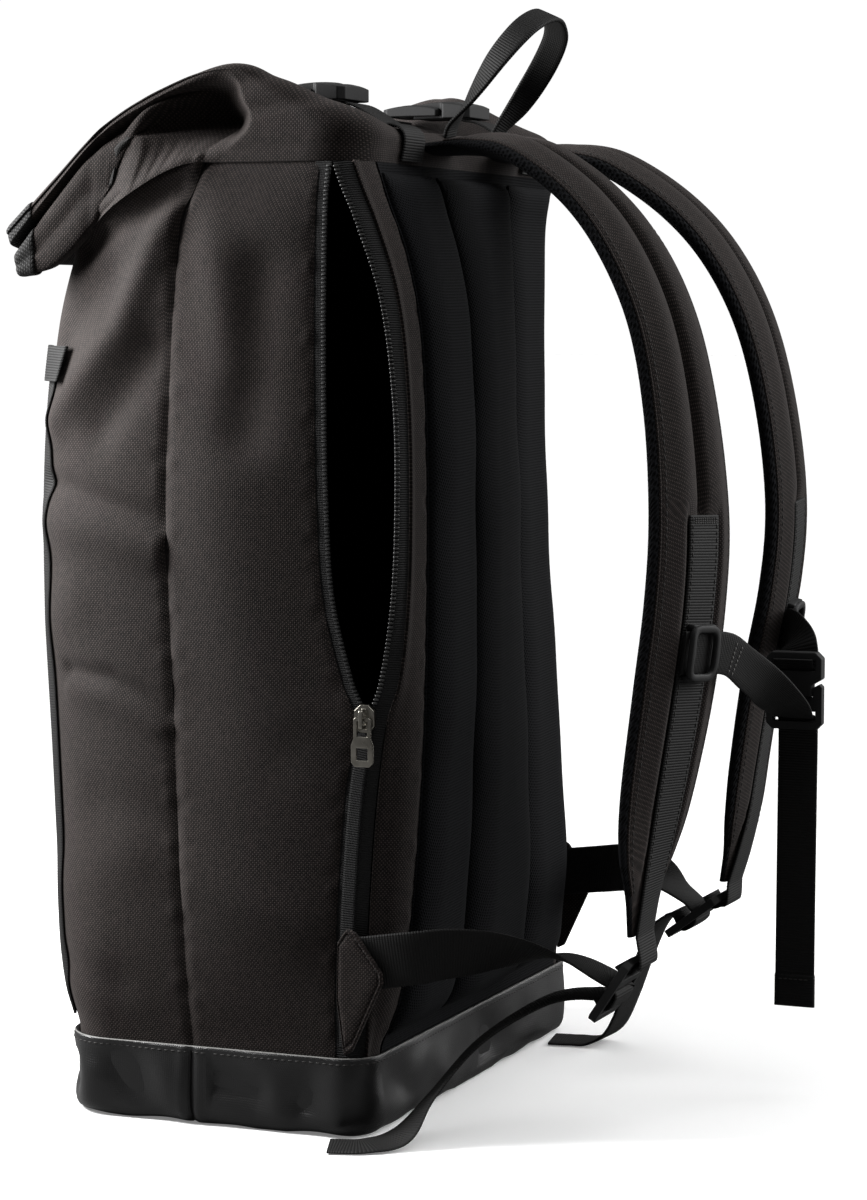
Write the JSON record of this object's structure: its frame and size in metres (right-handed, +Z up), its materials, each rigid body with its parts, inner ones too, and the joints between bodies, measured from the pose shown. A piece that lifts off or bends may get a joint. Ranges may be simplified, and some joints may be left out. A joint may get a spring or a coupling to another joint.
{
  "type": "backpack",
  "caption": "Upright cloth daypack with a fold-down clipped top, coated base, open side zip to a laptop space, mesh back pads, padded shoulder straps and a sternum strap.",
  "frame": {"origin": "on the floor under the middle of the base", "axes": "+X to the wearer's right, the side with the zip; +Y to the wearer; +Z up"},
  "size_m": [0.3163, 0.3604, 0.5302],
  "materials": {
    "cloth": "woven, matt",
    "webbing": "ribbed webbing",
    "mesh": "spacer mesh",
    "coated": "semi-gloss coating",
    "plastic": "satin",
    "metal": "aged nickel"
  },
  "bodies": {
    "bag": {"side_panel_right": "cloth", "front_panel": "cloth", "side_panel_left": "cloth", "back_panel": "cloth", "zip_gusset": "cloth", "zip_tape_front": "webbing", "zip_tape_back": "webbing", "base_tray": "coated", "back_pad_left": "mesh", "back_pad_center": "mesh", "back_pad_right": "mesh", "roll_top": "cloth", "mouth_hem": "webbing", "top_strap_front_right": "webbing", "top_strap_front_left": "webbing", "top_strap_back_right": "webbing", "top_strap_back_left": "webbing", "top_buckle_socket_right": "plastic", "top_buckle_socket_left": "plastic", "top_buckle_plug_right": "plastic", "top_buckle_plug_left": "plastic", "haul_loop": "webbing", "shoulder_strap_right": "cloth", "shoulder_strap_left": "cloth", "strap_webbing_right": "webbing", "strap_webbing_left": "webbing", "ladder_lock_right": "plastic", "ladder_lock_left": "plastic", "lower_webbing_right": "webbing", "lower_webbing_left": "webbing", "strap_wing_right": "cloth", "strap_wing_left": "cloth", "sternum_slider_right": "plastic", "sternum_slider_left": "plastic", "sternum_strap_right": "webbing", "sternum_strap_left": "webbing", "sternum_socket": "plastic", "sternum_plug": "plastic", "zip_slider": "metal", "front_strap_right": "webbing", "front_strap_left": "webbing", "front_tab_right": "webbing", "front_tab_left": "webbing"},
    "puller": {"zip_puller": "metal"}
  },
  "joints": [
    {"name": "puller_swing", "type": "hinge", "parent": "bag", "child": "puller", "pos_m": [0.1477, 0.0829, 0.198], "axis": [0, -1, 0], "range_deg": [0, 165]}
  ]
}
